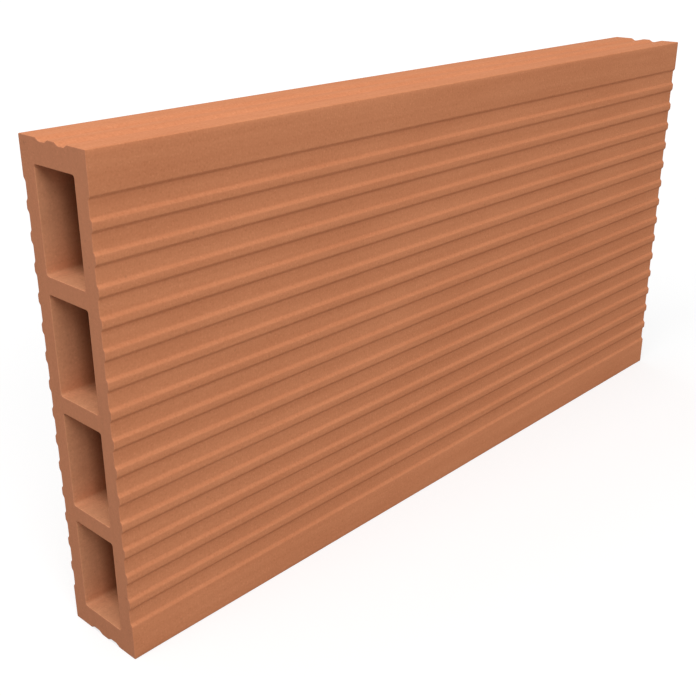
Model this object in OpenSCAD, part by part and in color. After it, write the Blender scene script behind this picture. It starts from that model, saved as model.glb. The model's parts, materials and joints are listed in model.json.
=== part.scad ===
// Hollow clay partition brick: one piece, extruded through a die, cut to length and fired.
// Its cells run right through it, and shallow grooves key plaster to its faces and mortar to its beds.
// X runs along the cells, Y through the thickness and Z up, from the middle of the lower bed.

/* [Brick] */
// Length along the cells, between the two cut ends
brick_length = 400; // [100:5:600]
// Height from the lower bed to the upper bed
brick_height = 200; // [150:5:400]
// Thickness from face to face
brick_thickness = 40; // [35:1:120]
// Radius of the four long edges
edge_radius = 0.4; // [0.2:0.1:3]

/* [Cells] */
// Number of cells, one above another
cell_count = 4; // [1:1:6]
// Wall between the cells and each face
face_wall = 8; // [5:0.5:12]
// Wall between the outermost cells and each bed
bed_wall = 9.5; // [5:0.5:14]
// Web between one cell and the next
cell_web = 7; // [4:0.5:12]
// Radius in the corners of a cell
cell_radius = 1; // [0.2:0.1:4]

/* [Keying grooves] */
// Distance from the middle of one groove to the next
groove_pitch = 11.5; // [11:0.5:20]
// Radius along the foot of each side of a groove
foot_radius = 1.2; // [0.2:0.1:1.4]
// Radius along the top of each side of a groove
rib_radius = 1.2; // [0.2:0.1:1.4]

/* [Face grooves] */
// Width of a groove at its mouth
face_groove_mouth = 8.6; // [6:0.1:9]
// Width of each sloping side of a groove
face_groove_side = 1.2; // [0.8:0.1:2]
// Depth of a groove
face_groove_depth = 1; // [0.8:0.1:2.5]
// Least plain strip along each edge of a face
face_margin = 15; // [5:0.5:30]

/* [Bed grooves] */
// Width of a groove at its mouth
bed_groove_mouth = 7.5; // [6:0.1:9]
// Width of each sloping side of a groove
bed_groove_side = 2; // [0.8:0.1:2.5]
// Depth of a groove
bed_groove_depth = 1.1; // [0.8:0.1:2.5]
// Least plain strip along each edge of a bed
bed_margin = 10; // [5:0.5:15]

/* [Hidden] */
$fn = 48;
fired_clay = "#d08a60";
// Steps along the round at each bend of a groove
bend_steps = 4;
// How far a cut runs past the surface that it opens
cut_over = 1;
cell_width = brick_thickness - 2 * face_wall;
cell_height = (brick_height - 2 * bed_wall - (cell_count - 1) * cell_web) / cell_count;
cell_pitch = cell_height + cell_web;
face_grooves = groove_count(brick_height - 2 * face_margin, face_groove_mouth);
bed_grooves = groove_count(brick_thickness - 2 * bed_margin, bed_groove_mouth);

// Number of grooves of one mouth that fit across a width
function groove_count(width, mouth) = max(0, 1 + floor((width - mouth) / groove_pitch));

// Distance of copy i of a centred row of count copies from the middle of the row
function row_place(i, count, pitch) = (i - (count - 1) / 2) * pitch;

// Rectangle about the origin with round corners
module rounded_rectangle(width, height, radius) {
    square([width - 2 * radius, height], center = true);
    square([width, height - 2 * radius], center = true);
    for (x = [-1, 1], y = [-1, 1])
        translate([x * (width / 2 - radius), y * (height / 2 - radius)])
            circle(r = radius);
}

// Points of a round about centre, from one angle to another
function round_points(centre, radius, from, to) =
    [for (i = [0 : 1 : bend_steps])
        let (angle = from + (to - from) * i / bend_steps)
            centre + radius * [cos(angle), sin(angle)]];

// One groove, opening upwards at the X axis: straight sides, a flat floor and a round at each bend
module groove(mouth, side, depth) {
    slope = atan2(depth, side);
    // A round starts this far from where the straight lines would meet
    top_run = rib_radius * tan(slope / 2);
    foot_run = foot_radius * tan(slope / 2);
    rib_centre = [mouth / 2 + top_run, -rib_radius];
    foot_centre = [mouth / 2 - side - foot_run, foot_radius - depth];
    half = concat(
        [[rib_centre.x, cut_over]],
        round_points(rib_centre, rib_radius, 90, 90 + slope),
        round_points(foot_centre, foot_radius, 270 + slope, 270)
    );
    other_half = [for (i = [len(half) - 1 : -1 : 0]) [-half[i].x, half[i].y]];
    polygon(concat(half, other_half));
}

// Copies of the child, a groove, across two opposite sides that lie reach above and below the origin
module groove_rows(count, reach) {
    for (turn = [0, 180], i = [0 : 1 : count - 1])
        rotate(turn)
            translate([row_place(i, count, groove_pitch), reach])
                children();
}

// Cells, stacked along Y about the origin
module cells() {
    for (i = [0 : 1 : cell_count - 1])
        translate([0, row_place(i, cell_count, cell_pitch)])
            rounded_rectangle(cell_width, cell_height, cell_radius);
}

// The section that the die gives, about its middle, with X through the thickness and Y up
module section() {
    difference() {
        rounded_rectangle(brick_thickness, brick_height, edge_radius);
        cells();
        groove_rows(bed_grooves, brick_height / 2)
            groove(bed_groove_mouth, bed_groove_side, bed_groove_depth);
        rotate(90)
            groove_rows(face_grooves, brick_thickness / 2)
                groove(face_groove_mouth, face_groove_side, face_groove_depth);
    }
}

// The whole brick: the section drawn out along X and cut square at both ends
module brick() {
    color(fired_clay)
        translate([0, 0, brick_height / 2])
            rotate([90, 0, 90])
                linear_extrude(brick_length, center = true)
                    section();
}

brick();
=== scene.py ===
"""A hollow clay partition brick: the drawn and fired clay body, on a pale studio floor."""
import json
import math

import bmesh
import bpy
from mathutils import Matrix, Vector


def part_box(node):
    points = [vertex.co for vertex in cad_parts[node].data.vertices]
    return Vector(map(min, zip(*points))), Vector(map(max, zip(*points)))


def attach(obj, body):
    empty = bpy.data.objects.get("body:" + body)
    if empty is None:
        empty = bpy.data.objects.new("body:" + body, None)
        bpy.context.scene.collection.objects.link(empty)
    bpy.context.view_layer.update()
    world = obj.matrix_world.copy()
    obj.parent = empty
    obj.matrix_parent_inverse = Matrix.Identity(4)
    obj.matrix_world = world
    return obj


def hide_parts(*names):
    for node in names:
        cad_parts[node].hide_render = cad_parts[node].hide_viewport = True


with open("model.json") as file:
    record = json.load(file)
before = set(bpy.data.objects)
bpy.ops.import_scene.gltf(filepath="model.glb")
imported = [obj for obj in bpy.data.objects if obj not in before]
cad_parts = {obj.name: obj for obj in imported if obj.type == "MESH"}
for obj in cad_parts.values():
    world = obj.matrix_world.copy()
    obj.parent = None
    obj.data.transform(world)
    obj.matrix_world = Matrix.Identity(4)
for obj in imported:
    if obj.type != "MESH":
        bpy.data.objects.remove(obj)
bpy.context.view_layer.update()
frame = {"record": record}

MM = 0.001

# The brick and the middles of its cells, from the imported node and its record
brick_low, brick_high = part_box("brick")
LENGTH, THICKNESS, HEIGHT = brick_high - brick_low
MIDDLE = (brick_low + brick_high) / 2
OPENINGS = [opening["box_m"] for opening in frame["record"]["physics"]["openings"]]
CELL_MIDDLES = [(Vector(low) + Vector(high)) / 2 for low, high in OPENINGS]

# The drawn section, as the die gives it
EDGE_ROUND = 0.4 * MM
FACE_WALL = 8 * MM
CELL_WIDTH = THICKNESS - 2 * FACE_WALL
CELL_HEIGHT = 40 * MM
CELL_ROUND = 1 * MM
GROOVE_PITCH = 11.5 * MM
GROOVE_ROUND = 1.2 * MM
FACE_GROOVES = 15
FACE_MOUTH = 8.6 * MM
FACE_SIDE = 1.2 * MM
FACE_DEPTH = 1 * MM
BED_GROOVES = 2
BED_MOUTH = 7.5 * MM
BED_SIDE = 2 * MM
BED_DEPTH = 1.1 * MM

# How the clay settles: the cut rims soften a little and the drawn skin waves slightly
CUT_ROUND = 0.2 * MM
WAVE_HEIGHT = 0.1 * MM
WAVE_LENGTH = 60 * MM
WAVE_DETAIL = 1
# The level in the waves, from 0 to 1, that leaves the skin where the die drew it
WAVE_LEVEL = 0.8

# How finely the body is divided
BEND_STEPS = 3
RIM_STEPS = 2
LENGTH_STEPS = 40
EDGE_STRIP = 1.6 * MM
CELL_STRIP = 1 * MM
SMOOTH_BELOW = math.radians(50)

# Where the narrow strips along the two faces and the two beds start, from the middle
FACE_STRIP = THICKNESS / 2 - EDGE_ROUND - EDGE_STRIP
BED_STRIP = HEIGHT / 2 - EDGE_ROUND - EDGE_STRIP

# Axes of the section: through the thickness, and up
Y_AXIS = 1
Z_AXIS = 2

# How far the middle of a quarter round lies from its centre along each axis, as a share of its radius
ARC_MIDDLE = math.sqrt(0.5)

# How near counts as the same place, and as the same cut
NEAR = 0.01 * MM
SAME_CUT = NEAR / 100

# The least lean of a cut end's normal along the length, and the limits of a softened rim's
CUT_LEAN = 0.5
RIM_LEAN_LOW = 0.05
RIM_LEAN_HIGH = 0.95

# Names of the three ways of selecting in edit mode
SELECT_MODES = {"verts": "VERT", "edges": "EDGE", "faces": "FACE"}


def groove_line(mouth, side, depth):
    """Places from the middle of a groove outwards, each with its depth below the face."""
    slope = math.atan2(depth, side)
    run = GROOVE_ROUND * math.tan(slope / 2)
    foot = mouth / 2 - side - run
    rib = mouth / 2 + run
    turns = [slope * step / BEND_STEPS for step in range(BEND_STEPS + 1)]
    line = []
    for turn in turns:
        rise = GROOVE_ROUND * (1 - math.cos(turn))
        line.append((foot + GROOVE_ROUND * math.sin(turn), depth - rise))
    for turn in reversed(turns):
        drop = GROOVE_ROUND * (1 - math.cos(turn))
        line.append((rib - GROOVE_ROUND * math.sin(turn), drop))
    return line


def side_line(width, grooves, half_groove):
    """Places across one side of the section from its middle, each with its depth below the face."""
    line = []
    for i in range(grooves):
        middle = (i - (grooves - 1) / 2) * GROOVE_PITCH
        for place, depth in half_groove:
            line += [(middle + place, depth), (middle - place, depth)]
    corner = width / 2 - EDGE_ROUND
    line += [(corner, 0), (-corner, 0)]
    return line


def face_line():
    """The line across a face, with its keying grooves."""
    return side_line(HEIGHT, FACE_GROOVES, groove_line(FACE_MOUTH, FACE_SIDE, FACE_DEPTH))


def bed_line():
    """The line across a bed, with its gentler grooves."""
    return side_line(THICKNESS, BED_GROOVES, groove_line(BED_MOUTH, BED_SIDE, BED_DEPTH))


def pick(kind, test):
    """In edit mode, selects just the faces, edges or corners that pass a test."""
    bpy.ops.mesh.select_mode(type=SELECT_MODES[kind])
    bpy.ops.mesh.select_all(action="DESELECT")
    mesh = bpy.context.object.data
    shape = bmesh.from_edit_mesh(mesh)
    for item in getattr(shape, kind):
        item.select_set(test(item))
    shape.select_flush_mode()
    bmesh.update_edit_mesh(mesh)


def cut_lines(places, axis, test):
    """Cuts the faces that pass a test with planes square to an axis, at places from the middle."""
    normal = Vector((0, 0, 0))
    normal[axis] = 1
    for place in sorted(places):
        pick("faces", test)
        bpy.ops.mesh.bisect(plane_co=MIDDLE + normal * place, plane_no=normal, threshold=SAME_CUT)


def push_in(line, axis, across, reach):
    """Moves the outline's corners on two opposite sides in by their depths."""
    depths = sorted({depth for place, depth in line if depth > 0})
    for depth in depths:
        places = [place for place, own_depth in line if own_depth == depth]
        for side in (-1, 1):
            def on_side(corner):
                spot = corner.co - MIDDLE
                if abs(spot[across] - side * reach) > NEAR:
                    return False
                return any(abs(spot[axis] - place) < NEAR for place in places)

            pick("verts", on_side)
            shift = Vector((0, 0, 0))
            shift[across] = -side * depth
            bpy.ops.transform.translate(value=shift)


def move_corners(middle, half_width, half_height, move):
    """Moves a rectangle's four corners in the section out along both axes, or in by a move below 0."""
    for side_y in (-1, 1):
        for side_z in (-1, 1):
            spot = Vector((brick_low.x, middle.y + side_y * half_width, middle.z + side_z * half_height))
            pick("verts", lambda corner: (corner.co - spot).length < NEAR)
            bpy.ops.transform.translate(value=(0, side_y * move, side_z * move))


def in_face_walls(face):
    """Whether a face of the plate lies in the strip along one of the brick's two faces."""
    return abs(face.calc_center_median().y - MIDDLE.y) > FACE_STRIP


def in_bed_walls(face):
    """Whether a face of the plate lies in the strip along one of the brick's two beds."""
    return abs(face.calc_center_median().z - MIDDLE.z) > BED_STRIP


def in_middle(face):
    """Whether a face of the plate lies inside all four strips."""
    return not in_face_walls(face) and not in_bed_walls(face)


def in_cell(face):
    """Whether a face of the plate lies in a cell, and not in the square that holds a corner's round."""
    spot = face.calc_center_median()
    for middle in CELL_MIDDLES:
        off_y = abs(spot.y - middle.y)
        off_z = abs(spot.z - middle.z)
        if off_y < CELL_WIDTH / 2 and off_z < CELL_HEIGHT / 2:
            return off_y < CELL_WIDTH / 2 - CELL_ROUND or off_z < CELL_HEIGHT / 2 - CELL_ROUND
    return False


def section_plate():
    """A plain flat plate as large as the section, at the left end, opened in edit mode."""
    bpy.ops.mesh.primitive_plane_add(size=1, rotation=(0, math.radians(-90), 0))
    plate = bpy.context.object
    plate.name = "brick_body"
    plate.location = (brick_low.x, MIDDLE.y, MIDDLE.z)
    plate.scale = (HEIGHT, THICKNESS, 1)
    bpy.ops.object.transform_apply(location=True, rotation=True, scale=True)
    bpy.ops.object.mode_set(mode="EDIT")
    return plate


def cut_walls():
    """Parts the plate into strips and a middle, and cuts the strips wherever the outline bends."""
    cut_lines([-FACE_STRIP, FACE_STRIP], Y_AXIS, lambda face: True)
    cut_lines([-BED_STRIP, BED_STRIP], Z_AXIS, lambda face: True)
    cut_lines([place for place, depth in face_line()], Z_AXIS, in_face_walls)
    cut_lines([place for place, depth in bed_line()], Y_AXIS, in_bed_walls)


def cut_cells():
    """Cuts the middle of the plate along the sides of the cells and beside their corners' rounds."""
    insets = [0, CELL_ROUND, CELL_ROUND + CELL_STRIP]
    for side in (-1, 1):
        cut_lines([side * (CELL_WIDTH / 2 - inset) for inset in insets], Y_AXIS, in_middle)
        for middle in CELL_MIDDLES:
            place = middle.z - MIDDLE.z
            cut_lines([place + side * (CELL_HEIGHT / 2 - inset) for inset in insets], Z_AXIS, in_middle)


def shape_outline():
    """Moves the outline in to its grooves and rounds its four corners."""
    push_in(face_line(), Z_AXIS, Y_AXIS, THICKNESS / 2)
    push_in(bed_line(), Y_AXIS, Z_AXIS, HEIGHT / 2)
    corner_cut = EDGE_ROUND * (1 - ARC_MIDDLE)
    move_corners(MIDDLE, THICKNESS / 2, HEIGHT / 2, -corner_cut)


def open_cells():
    """Takes the cells out of the plate and rounds their corners."""
    pick("faces", in_cell)
    bpy.ops.mesh.delete(type="FACE")
    half_width = CELL_WIDTH / 2 - CELL_ROUND
    half_height = CELL_HEIGHT / 2 - CELL_ROUND
    for middle in CELL_MIDDLES:
        move_corners(middle, half_width, half_height, CELL_ROUND * ARC_MIDDLE)


def is_cut(face):
    """Whether a face of the body belongs to a cut end."""
    return abs(face.normal.x) > CUT_LEAN


def is_rim(edge):
    """Whether an edge lies between a cut end and the drawn sides."""
    cut = [is_cut(face) for face in edge.link_faces]
    return len(cut) == 2 and cut[0] != cut[1]


def bounds_rim(edge):
    """Whether an edge lies between a softened rim and its neighbour."""
    softened = [RIM_LEAN_LOW < abs(face.normal.x) < RIM_LEAN_HIGH for face in edge.link_faces]
    return len(softened) == 2 and softened[0] != softened[1]


def runs_along(edge):
    """Whether an edge runs along the brick from rim to rim."""
    start, end = edge.verts
    return abs(start.co.x - end.co.x) > LENGTH / 2


def draw_out():
    """Draws the section out along the length, softens the cut rims and divides the length."""
    bpy.ops.mesh.select_all(action="SELECT")
    bpy.ops.mesh.extrude_region_move(TRANSFORM_OT_translate={"value": (LENGTH, 0, 0)})
    bpy.ops.mesh.select_all(action="SELECT")
    bpy.ops.mesh.normals_make_consistent(inside=False)
    pick("edges", is_rim)
    bpy.ops.mesh.bevel(offset=CUT_ROUND, segments=RIM_STEPS, affect="EDGES", clamp_overlap=True)
    # A softened rim is shaded apart from its neighbours
    pick("edges", bounds_rim)
    bpy.ops.mesh.mark_sharp()
    pick("edges", runs_along)
    bpy.ops.mesh.subdivide(number_cuts=LENGTH_STEPS - 1)
    bpy.ops.object.mode_set(mode="OBJECT")


def settle(body):
    """Gives the drawn skin the slight waves of clay that has dried and been fired."""
    skin = body.vertex_groups.new(name="drawn_skin")
    reach = LENGTH / 2 - 2 * CUT_ROUND
    between_rims = [v.index for v in body.data.vertices if abs(v.co.x - MIDDLE.x) < reach]
    skin.add(between_rims, 1, "REPLACE")
    waves = bpy.data.textures.new("clay_waves", "CLOUDS")
    waves.noise_scale = WAVE_LENGTH
    waves.noise_depth = WAVE_DETAIL
    bend = body.modifiers.new("settled_clay", "DISPLACE")
    bend.texture = waves
    bend.texture_coords = "LOCAL"
    bend.strength = WAVE_HEIGHT
    bend.mid_level = WAVE_LEVEL
    bend.vertex_group = skin.name
    bpy.ops.object.modifier_apply(modifier=bend.name)
    bpy.ops.object.shade_smooth_by_angle(angle=SMOOTH_BELOW)


def make_brick():
    """The whole brick: its section shaped on a plate, drawn out, cut and settled."""
    bpy.ops.object.select_all(action="DESELECT")
    body = section_plate()
    cut_walls()
    cut_cells()
    shape_outline()
    open_cells()
    draw_out()
    settle(body)
    return body


brick = make_brick()
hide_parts("brick")
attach(brick, "root")

# Noise in the clay: a scale counts lumps to the metre, and streaks lie on a place that the drag has scaled
PATCHES = {"scale": 15, "detail": 3}
STREAKS = {"scale": 1, "detail": 3}
SAND_TONES = {"scale": 1200, "detail": 2}
SAND_RELIEF = {"scale": 900, "detail": 4}
PITS = {"scale": 560, "detail": 1}

# The levels between which most of a noise lies
NOISE_LOW = 0.3
NOISE_HIGH = 0.7

# Shares of the patches, the streaks and the sand in the tone of the clay
PATCH_SHARE = 0.3
STREAK_SHARE = 0.35
SAND_SHARE = 0.35

# Grains of sand, about a millimetre across: how much each shifts the tone and stands proud, and how far
# from its middle it starts to fade and ends
GRAIN_SCALE = 900
GRAIN_TONE = 0.3
GRAIN_RISE = 0.5
GRAIN_CORE = 0.3
GRAIN_RIM = 0.6

# A few dark specks: the level that a grain has to pass to be one, how dark the darkest is, and how far
# from its middle it starts to fade and ends
SPECK_SCALE = 170
SPECK_LEVEL = 0.86
SPECK_DARK = 0.25
SPECK_CORE = 0.05
SPECK_RIM = 0.13

# The fine relief: its height, the sand's share in it, and the levels of noise at a pit's rim and floor
RELIEF = 0.1 * MM
SAND_RISE = 0.6
PIT_RIM = 0.68
PIT_FLOOR = 0.76
PIT_DEPTH = 0.5

# How matt the clay is: its roughness where it is deep and where it is pale, and its slight shine
ROUGH_DEEP = 0.97
ROUGH_PALE = 0.86
SHINE = 0.08

# How close the streaks lie along each axis: drawn out along X by the die, and along Z by the cutting wire
DIE_DRAG = (14, 330, 330)
WIRE_DRAG = (350, 350, 22)

# Colours of the clay on the drawn skin, on the cut ends and in the cells; the cells' clay is paler than
# the skin, painted light for the light that falls in through the open ends
SKIN_CLAY = {"deep": (0.6, 0.219, 0.1), "pale": (0.72, 0.287, 0.138), "speck": (0.3, 0.11, 0.06)}
CUT_CLAY = {"deep": (0.576, 0.231, 0.12), "pale": (0.656, 0.263, 0.137), "speck": (0.3, 0.12, 0.07)}
# Painted light: the cells' clay is paler and less saturated than the skin's
CELL_CLAY_PAINTED_LIGHT = {"deep": (0.635, 0.274, 0.139), "pale": (0.765, 0.35, 0.187), "speck": (0.3, 0.12, 0.07)}

# Painted shade in the cells: their colour is made deeper in tone from a short way inside the open ends
CELL_PAINTED_SHADE = (0.55, 0.48, 0.42)
CELL_PAINTED_SHADE_START = 8 * MM
CELL_PAINTED_SHADE_END = 15 * MM

# How far beyond the cells' own size a face still counts as theirs
CELL_MARGIN = 1 * MM

# Places of the sockets of a Mix node that blends colours
MIX_AMOUNT = 0
MIX_FIRST = 6
MIX_SECOND = 7
MIX_RESULT = 2


def node_group(name, inputs, outputs):
    """An empty shader node group with named sockets, and the sockets at its two ends."""
    group = bpy.data.node_groups.new(name, "ShaderNodeTree")
    for socket, kind in inputs.items():
        group.interface.new_socket(socket, in_out="INPUT", socket_type=kind)
    for socket, kind in outputs.items():
        group.interface.new_socket(socket, in_out="OUTPUT", socket_type=kind)
    entry = group.nodes.new("NodeGroupInput")
    result = group.nodes.new("NodeGroupOutput")
    return group, entry.outputs, result.inputs


def feed(tree, value, socket):
    """Links another node's socket to a socket, or sets the socket to a plain value."""
    if isinstance(value, bpy.types.NodeSocket):
        tree.links.new(value, socket)
    else:
        socket.default_value = value


def noise(tree, place, scale, detail):
    """Cloudy noise, from 0 to 1."""
    node = tree.nodes.new("ShaderNodeTexNoise")
    node.inputs["Scale"].default_value = scale
    node.inputs["Detail"].default_value = detail
    tree.links.new(place, node.inputs["Vector"])
    return node.outputs[0]


def remap(tree, value, start, end, to_start, to_end):
    """A value's range from start to end, laid over another range and held there."""
    node = tree.nodes.new("ShaderNodeMapRange")
    tree.links.new(value, node.inputs["Value"])
    node.inputs["From Min"].default_value = start
    node.inputs["From Max"].default_value = end
    node.inputs["To Min"].default_value = to_start
    node.inputs["To Max"].default_value = to_end
    return node.outputs["Result"]


def maths(tree, operation, first, second):
    """Two values put together; either may be a plain number."""
    node = tree.nodes.new("ShaderNodeMath")
    node.operation = operation
    feed(tree, first, node.inputs[0])
    feed(tree, second, node.inputs[1])
    return node.outputs[0]


def blend(tree, amount, first, second, way="MIX"):
    """A colour part of the way from the first to the second, or to what the second makes of the first."""
    node = tree.nodes.new("ShaderNodeMix")
    node.data_type = "RGBA"
    node.blend_type = way
    feed(tree, amount, node.inputs[MIX_AMOUNT])
    feed(tree, first, node.inputs[MIX_FIRST])
    feed(tree, second, node.inputs[MIX_SECOND])
    return node.outputs[MIX_RESULT]


def grains(tree, place, scale):
    """Single grains of sand: how far a point lies from its grain's middle, and the grain's own tone."""
    node = tree.nodes.new("ShaderNodeTexVoronoi")
    node.inputs["Scale"].default_value = scale
    tree.links.new(place, node.inputs["Vector"])
    split = tree.nodes.new("ShaderNodeSeparateColor")
    tree.links.new(node.outputs["Color"], split.inputs["Color"])
    return node.outputs["Distance"], split.outputs["Red"]


def drawn_place(tree, place, stretch):
    """A place whose pattern is drawn out by its own scale along each axis."""
    node = tree.nodes.new("ShaderNodeVectorMath")
    node.operation = "MULTIPLY"
    tree.links.new(place, node.inputs[0])
    tree.links.new(stretch, node.inputs[1])
    return node.outputs[0]


def clay_tones():
    """The colour of fired clay: soft patches, drag streaks, sandy grain and a few dark specks."""
    inputs = {
        "Place": "NodeSocketVector",
        "Drag Scale": "NodeSocketVector",
        "Deep": "NodeSocketColor",
        "Pale": "NodeSocketColor",
        "Speck": "NodeSocketColor",
    }
    outputs = {"Colour": "NodeSocketColor", "Roughness": "NodeSocketFloat"}
    group, entry, result = node_group("clay_tones", inputs, outputs)
    place = entry["Place"]
    dragged = drawn_place(group, place, entry["Drag Scale"])
    layers = [
        (noise(group, place, **PATCHES), PATCH_SHARE),
        (noise(group, dragged, **STREAKS), STREAK_SHARE),
        (noise(group, place, **SAND_TONES), SAND_SHARE),
    ]
    grain_off, grain_tone = grains(group, place, GRAIN_SCALE)
    shift = remap(group, grain_tone, 0, 1, -GRAIN_TONE, GRAIN_TONE)
    tone = maths(group, "MULTIPLY", shift, remap(group, grain_off, GRAIN_CORE, GRAIN_RIM, 1, 0))
    for layer, share in layers:
        tone = maths(group, "ADD", tone, remap(group, layer, NOISE_LOW, NOISE_HIGH, 0, share))
    colour = blend(group, tone, entry["Deep"], entry["Pale"])

    speck_off, speck_tone = grains(group, place, SPECK_SCALE)
    few = remap(group, speck_tone, SPECK_LEVEL, 1, 0, SPECK_DARK)
    spot = remap(group, speck_off, SPECK_CORE, SPECK_RIM, 1, 0)
    colour = blend(group, maths(group, "MULTIPLY", few, spot), colour, entry["Speck"])
    group.links.new(colour, result["Colour"])
    group.links.new(remap(group, tone, 0, 1, ROUGH_DEEP, ROUGH_PALE), result["Roughness"])
    return group


def clay_relief():
    """The height of the fine relief in fired clay: sandy grain, drag lines and small pits."""
    inputs = {"Place": "NodeSocketVector", "Drag Scale": "NodeSocketVector"}
    group, entry, result = node_group("clay_relief", inputs, {"Height": "NodeSocketFloat"})
    place = entry["Place"]
    sand = maths(group, "MULTIPLY", noise(group, place, **SAND_RELIEF), SAND_RISE)
    lines = noise(group, drawn_place(group, place, entry["Drag Scale"]), **STREAKS)
    grain_off, grain_tone = grains(group, place, GRAIN_SCALE)
    proud = maths(group, "MULTIPLY", remap(group, grain_off, 0, GRAIN_RIM, GRAIN_RISE, 0), grain_tone)
    pits = remap(group, noise(group, place, **PITS), PIT_RIM, PIT_FLOOR, 0, PIT_DEPTH)
    height = maths(group, "ADD", maths(group, "ADD", sand, lines), proud)
    group.links.new(maths(group, "SUBTRACT", height, pits), result["Height"])
    return group


def fired_clay(name, tones, relief, drag_scale, deep, pale, speck):
    """One finish of the fired clay, with its own drag direction and colours."""
    clay = bpy.data.materials.new(name)
    clay.use_nodes = True
    tree = clay.node_tree
    shader = tree.nodes["Principled BSDF"]
    where = tree.nodes.new("ShaderNodeTexCoord")
    colour = tree.nodes.new("ShaderNodeGroup")
    colour.node_tree = tones
    height = tree.nodes.new("ShaderNodeGroup")
    height.node_tree = relief
    for node in (colour, height):
        tree.links.new(where.outputs["Object"], node.inputs["Place"])
        node.inputs["Drag Scale"].default_value = drag_scale
    colour.inputs["Deep"].default_value = (*deep, 1)
    colour.inputs["Pale"].default_value = (*pale, 1)
    colour.inputs["Speck"].default_value = (*speck, 1)
    bump = tree.nodes.new("ShaderNodeBump")
    bump.inputs["Strength"].default_value = 1
    bump.inputs["Distance"].default_value = RELIEF
    tree.links.new(height.outputs["Height"], bump.inputs["Height"])
    tree.links.new(colour.outputs["Colour"], shader.inputs["Base Color"])
    tree.links.new(colour.outputs["Roughness"], shader.inputs["Roughness"])
    tree.links.new(bump.outputs["Normal"], shader.inputs["Normal"])
    shader.inputs["Specular IOR Level"].default_value = SHINE
    return clay


def paint_shade_inwards(clay):
    """Darkens a finish away from the open ends: painted shade for the dimmer light deeper in the cells."""
    tree = clay.node_tree
    split = tree.nodes.new("ShaderNodeSeparateXYZ")
    tree.links.new(tree.nodes["Texture Coordinate"].outputs["Object"], split.inputs[0])
    off_middle = maths(tree, "ABSOLUTE", split.outputs["X"], 0)
    start = LENGTH / 2 - CELL_PAINTED_SHADE_START
    end = LENGTH / 2 - CELL_PAINTED_SHADE_END
    inside = remap(tree, off_middle, end, start, 1, 0)
    base = tree.nodes["Principled BSDF"].inputs["Base Color"]
    colour = base.links[0].from_socket
    # Painted shade: the colour is multiplied darker deeper inside the cells
    tree.links.new(blend(tree, inside, colour, (*CELL_PAINTED_SHADE, 1), "MULTIPLY"), base)


def among_cells(face):
    """Whether a face of the body lies on a cell's sides, or on the ends between the cells."""
    spot = face.calc_center_median() - MIDDLE
    highest_cell = max(middle.z for middle in CELL_MIDDLES) - MIDDLE.z
    reach_y = CELL_WIDTH / 2 + CELL_MARGIN
    reach_z = highest_cell + CELL_HEIGHT / 2 + CELL_MARGIN
    return abs(spot.y) < reach_y and abs(spot.z) < reach_z


def give_finish(body, finish, test):
    """Puts one of the body's finishes on the faces that pass a test."""
    pick("faces", test)
    body.active_material_index = body.data.materials.find(finish.name)
    bpy.ops.object.material_slot_assign()


def finish_brick(body):
    """Gives the drawn skin, the cut ends and the cells their own finishes; the cells' finish is paler as
    painted light and darker inwards as painted shade.
    """
    tones = clay_tones()
    relief = clay_relief()
    skin = fired_clay("fired_clay_skin", tones, relief, DIE_DRAG, **SKIN_CLAY)
    cut = fired_clay("fired_clay_cut", tones, relief, WIRE_DRAG, **CUT_CLAY)
    cell = fired_clay("fired_clay_cell", tones, relief, DIE_DRAG, **CELL_CLAY_PAINTED_LIGHT)
    # The cells' finish gets painted shade deeper inside
    paint_shade_inwards(cell)
    body.data.materials.clear()
    for finish in (skin, cut, cell):
        body.data.materials.append(finish)
    bpy.ops.object.select_all(action="DESELECT")
    bpy.context.view_layer.objects.active = body
    bpy.ops.object.mode_set(mode="EDIT")
    give_finish(body, cell, among_cells)
    give_finish(body, cut, is_cut)
    bpy.ops.object.mode_set(mode="OBJECT")


finish_brick(brick)

# The studio floor: how pale it is to the light and to the viewer, and how its glow grows farther off
FLOOR_SIZE = 14
FLOOR_RETURN = 0.3
FLOOR_TONE = 0.4
FADE_START = 0.3
FADE_END = 1.6
GLOW_NEAR = 0.67
GLOW_FAR = 0.87

# The sky: its light on the brick, and how it shows to the viewer
SKY_LIGHT = 0.44
SKY_WHITE = 1

# The soft lamps, with places and sizes in metres
LAMPS = {
    "lamp_front": {"place": (-0.6, -1.9, 1.3), "size": 1.2, "watts": 18},
    "lamp_left": {"place": (-0.7, -0.2, 1.2), "size": 0.8, "watts": 6.6},
    "lamp_back": {"place": (0.2, 1.1, 1.8), "size": 1.2, "watts": 5.2},
}

# The camera, as the photograph was taken
CAMERA_PLACE = Vector((-380.88, -302.78, 269.32)) * MM
CAMERA_YAW = math.radians(46.927)
CAMERA_PITCH = math.radians(22.8685)
CAMERA_LENS = 53.55
CAMERA_SENSOR = 36
CAMERA_NEAREST = 10 * MM


def seen_mask(tree):
    """A value of 1 for rays that show a surface to the viewer: direct, in a gloss or through glass."""
    path = tree.nodes.new("ShaderNodeLightPath")
    seen = path.outputs["Is Camera Ray"]
    for name in ("Is Glossy Ray", "Is Transmission Ray"):
        seen = maths(tree, "MAXIMUM", seen, path.outputs[name])
    return seen


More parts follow.
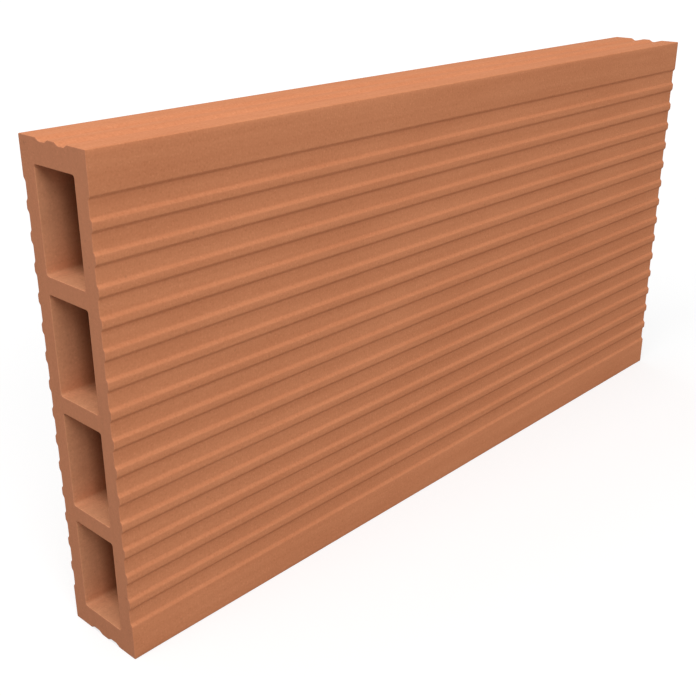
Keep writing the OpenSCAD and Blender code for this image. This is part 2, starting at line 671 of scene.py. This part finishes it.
def white_floor():
    """A floor that shows the brick's soft shadow near it, and fades to plain white farther off."""
    look = bpy.data.materials.new("studio_floor")
    look.use_nodes = True
    tree = look.node_tree
    tree.nodes.clear()
    seen = seen_mask(tree)
    matt = tree.nodes.new("ShaderNodeBsdfDiffuse")
    tree.links.new(remap(tree, seen, 0, 1, FLOOR_RETURN, FLOOR_TONE), matt.inputs["Color"])
    where = tree.nodes.new("ShaderNodeTexCoord")
    away = tree.nodes.new("ShaderNodeVectorMath")
    away.operation = "LENGTH"
    tree.links.new(where.outputs["Object"], away.inputs[0])
    white = remap(tree, away.outputs["Value"], FADE_START, FADE_END, GLOW_NEAR, GLOW_FAR)
    glow = tree.nodes.new("ShaderNodeEmission")
    tree.links.new(maths(tree, "MULTIPLY", seen, white), glow.inputs["Strength"])
    both = tree.nodes.new("ShaderNodeAddShader")
    tree.links.new(matt.outputs[0], both.inputs[0])
    tree.links.new(glow.outputs[0], both.inputs[1])
    surface = tree.nodes.new("ShaderNodeOutputMaterial")
    tree.links.new(both.outputs[0], surface.inputs["Surface"])
    return look


def make_floor():
    """A wide floor under the brick."""
    bpy.ops.mesh.primitive_plane_add(size=FLOOR_SIZE)
    floor = bpy.context.object
    floor.name = "studio_floor"
    floor.data.materials.append(white_floor())


def soft_sky():
    """An even soft light all round, which shows as white."""
    sky = bpy.data.worlds.new("studio_sky")
    sky.use_nodes = True
    tree = sky.node_tree
    background = tree.nodes["Background"]
    background.inputs["Color"].default_value = (1, 1, 1, 1)
    strength = remap(tree, seen_mask(tree), 0, 1, SKY_LIGHT, SKY_WHITE)
    tree.links.new(strength, background.inputs["Strength"])
    bpy.context.scene.world = sky


def soft_lamp(name, place, size, watts):
    """A square soft box that faces the brick's middle."""
    turn = (MIDDLE - Vector(place)).to_track_quat("-Z", "Y").to_euler()
    bpy.ops.object.light_add(type="AREA", location=place, rotation=turn)
    lamp = bpy.context.object
    lamp.name = name
    lamp.data.shape = "SQUARE"
    lamp.data.size = size
    lamp.data.energy = watts


def make_camera():
    """The camera, at the photograph's place, turn and lens."""
    turn = (math.radians(90) - CAMERA_PITCH, 0, -CAMERA_YAW)
    bpy.ops.object.camera_add(location=CAMERA_PLACE, rotation=turn)
    camera = bpy.context.object
    camera.data.sensor_width = CAMERA_SENSOR
    camera.data.lens = CAMERA_LENS
    camera.data.clip_start = CAMERA_NEAREST
    bpy.context.scene.camera = camera


make_floor()
soft_sky()
for lamp_name, lamp_values in LAMPS.items():
    soft_lamp(lamp_name, **lamp_values)
make_camera()
bpy.context.scene.view_settings.view_transform = "Standard"
